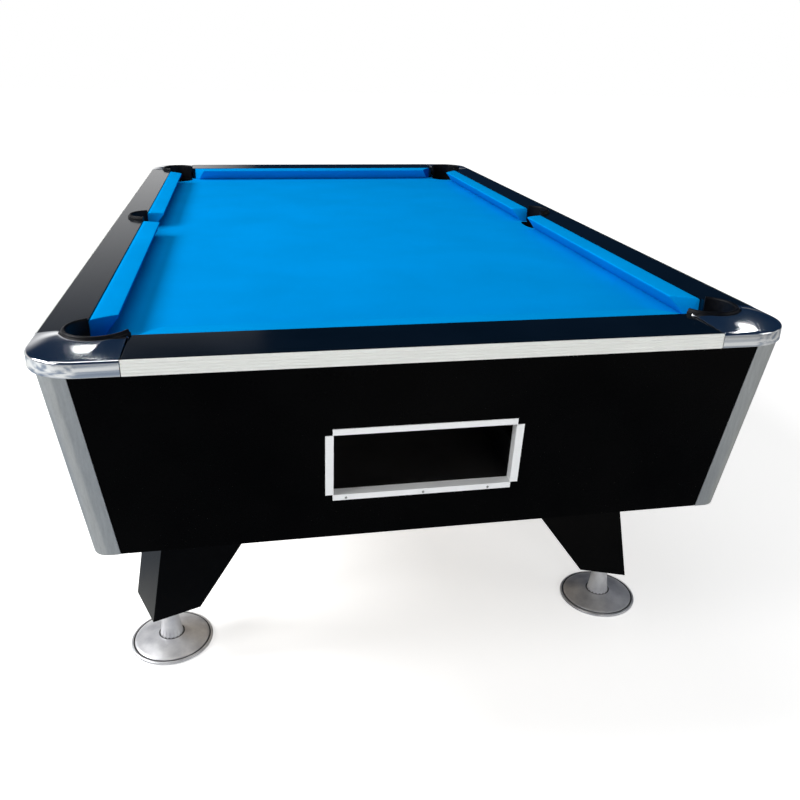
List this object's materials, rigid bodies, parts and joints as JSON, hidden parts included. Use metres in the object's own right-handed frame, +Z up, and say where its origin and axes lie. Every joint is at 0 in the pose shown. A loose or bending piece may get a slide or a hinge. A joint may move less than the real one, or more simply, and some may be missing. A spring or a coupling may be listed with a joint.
{
  "type": "pool table",
  "caption": "Coin-operated pool table with a slate bed, cushioned rails, chrome corners, drop pockets, an inner ball run, a ball window and splayed legs on chrome feet.",
  "frame": {"origin": "centre of the table on the floor", "axes": "+Y along the table away from the ball window, +X to the coin side, +Z up"},
  "size_m": [1.35, 2.45, 0.836],
  "materials": {
    "laminate_black": "gloss black laminate on board",
    "timber": "raw board",
    "satin_aluminium": "satin",
    "chrome": "polished",
    "blue_cloth": "napped cloth",
    "cushion_cloth": "rubber under blue cloth",
    "slate": "ground slate",
    "pocket_black": "black moulding",
    "moulded_black": "black moulding",
    "steel": "zinc plated",
    "door_black": "black powder coat"
  },
  "bodies": {
    "table": {"front_board": "laminate_black", "rear_board": "laminate_black", "left_board": "laminate_black", "right_board": "laminate_black", "cabinet_floor": "timber", "corner_post_front_left": "satin_aluminium", "corner_post_front_right": "satin_aluminium", "corner_post_rear_left": "satin_aluminium", "corner_post_rear_right": "satin_aluminium", "slate_bearers": "timber", "slate": "slate", "bed_cloth": "blue_cloth", "rail_front": "laminate_black", "rail_rear": "laminate_black", "rail_left": "laminate_black", "rail_right": "laminate_black", "edge_trim_front": "satin_aluminium", "edge_trim_rear": "satin_aluminium", "edge_trim_left": "satin_aluminium", "edge_trim_right": "satin_aluminium", "corner_casting_front_left": "chrome", "corner_casting_front_right": "chrome", "corner_casting_rear_left": "chrome", "corner_casting_rear_right": "chrome", "corner_pocket_front_left": "pocket_black", "corner_pocket_front_right": "pocket_black", "corner_pocket_rear_left": "pocket_black", "corner_pocket_rear_right": "pocket_black", "side_pocket_liners": "pocket_black", "cushion_front": "cushion_cloth", "cushion_rear": "cushion_cloth", "cushion_side_front_left": "cushion_cloth", "cushion_side_front_right": "cushion_cloth", "cushion_side_rear_left": "cushion_cloth", "cushion_side_rear_right": "cushion_cloth", "window_trim": "satin_aluminium", "gutter_left": "moulded_black", "gutter_right": "moulded_black", "near_chute": "moulded_black", "trap_channel": "moulded_black", "trap_chute": "timber", "ball_tray": "moulded_black", "coin_mech": "chrome", "cash_box": "steel", "cash_door_frame": "door_black", "leg_front_left": "laminate_black", "leg_front_right": "laminate_black", "leg_rear_left": "laminate_black", "leg_rear_right": "laminate_black", "leg_bolts": "steel"},
    "trap": {"trap_flap": "steel", "trap_crank": "steel"},
    "coin_slider": {"coin_slide": "chrome", "push_rod": "steel"},
    "cash_door_leaf": {"cash_door": "door_black"},
    "lock_barrel": {"cash_lock": "chrome"},
    "front_left_foot": {"foot_front_left": "chrome"},
    "front_right_foot": {"foot_front_right": "chrome"},
    "rear_left_foot": {"foot_rear_left": "chrome"},
    "rear_right_foot": {"foot_rear_right": "chrome"}
  },
  "joints": [
    {"name": "coin_slide_push", "type": "slide", "parent": "table", "child": "coin_slider", "axis": [-1, 0, 0], "range_m": [0, 0.032]},
    {"name": "trap_hinge", "type": "hinge", "parent": "table", "child": "trap", "pos_m": [0.583, -0.53, 0.588], "axis": [0, -1, 0], "range_deg": [0, 36]},
    {"name": "cash_door_hinge", "type": "hinge", "parent": "table", "child": "cash_door_leaf", "pos_m": [0.62653, -1.0535, 0.49982], "axis": [0.1113, 0, 0.9938], "range_deg": [-110, 0]},
    {"name": "lock_turn", "type": "hinge", "parent": "cash_door_leaf", "child": "lock_barrel", "pos_m": [0.61957, -0.922, 0.5006], "axis": [0.9938, 0, -0.1113], "range_deg": [0, 90]},
    {"name": "front_left_levelling", "type": "slide", "parent": "table", "child": "front_left_foot", "axis": [0, 0, -1], "range_m": [-0.01, 0.03]},
    {"name": "front_right_levelling", "type": "slide", "parent": "table", "child": "front_right_foot", "axis": [0, 0, -1], "range_m": [-0.01, 0.03]},
    {"name": "rear_left_levelling", "type": "slide", "parent": "table", "child": "rear_left_foot", "axis": [0, 0, -1], "range_m": [-0.01, 0.03]},
    {"name": "rear_right_levelling", "type": "slide", "parent": "table", "child": "rear_right_foot", "axis": [0, 0, -1], "range_m": [-0.01, 0.03]}
  ],
  "couplings": [
    {"joint": "trap_hinge", "follows": "coin_slide_push", "rad_per_m": 19.635}
  ]
}
